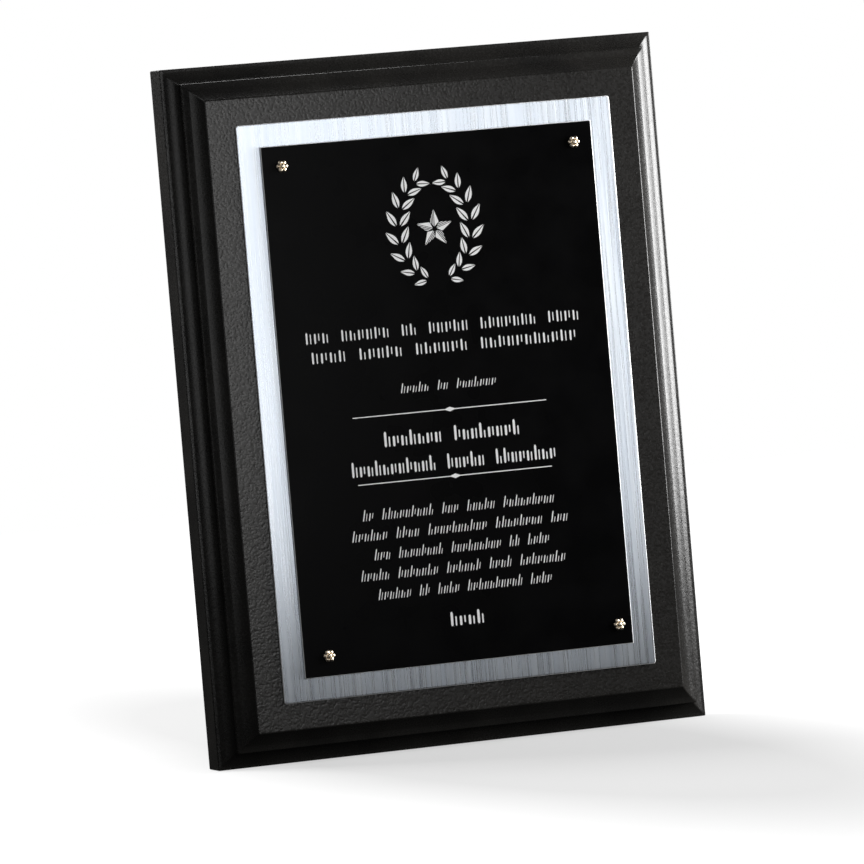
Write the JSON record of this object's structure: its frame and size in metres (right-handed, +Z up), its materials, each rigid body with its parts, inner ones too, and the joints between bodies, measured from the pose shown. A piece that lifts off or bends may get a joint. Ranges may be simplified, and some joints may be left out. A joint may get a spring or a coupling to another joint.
{
  "type": "award plaque",
  "caption": "Upright award plaque: a black board with a stepped cove edge, a brushed border plate and a black engraved plate held by rosette tacks.",
  "frame": {"origin": "centre of the board's back face, which lies flat against the wall", "axes": "+Z up along the plaque's height, +X to the reader's right, +Y out of the back into the wall, so the engraved front faces -Y"},
  "size_m": [0.2286, 0.0317, 0.3048],
  "materials": {
    "board": "fibreboard in satin black paint with a fine pebbled texture",
    "border_plate": "brushed lengthwise, cool silver",
    "engraved_plate": "gloss black coating on metal sheet",
    "engraving": "matt silver grey where the coating is cut away",
    "tack": "pale polished brass, pressed rosette head"
  },
  "bodies": {
    "root": {"board": "board", "border_plate": "border_plate", "engraved_plate": "engraved_plate", "tack_top_left": "tack", "tack_top_right": "tack", "tack_bottom_left": "tack", "tack_bottom_right": "tack"}
  },
  "joints": []
}
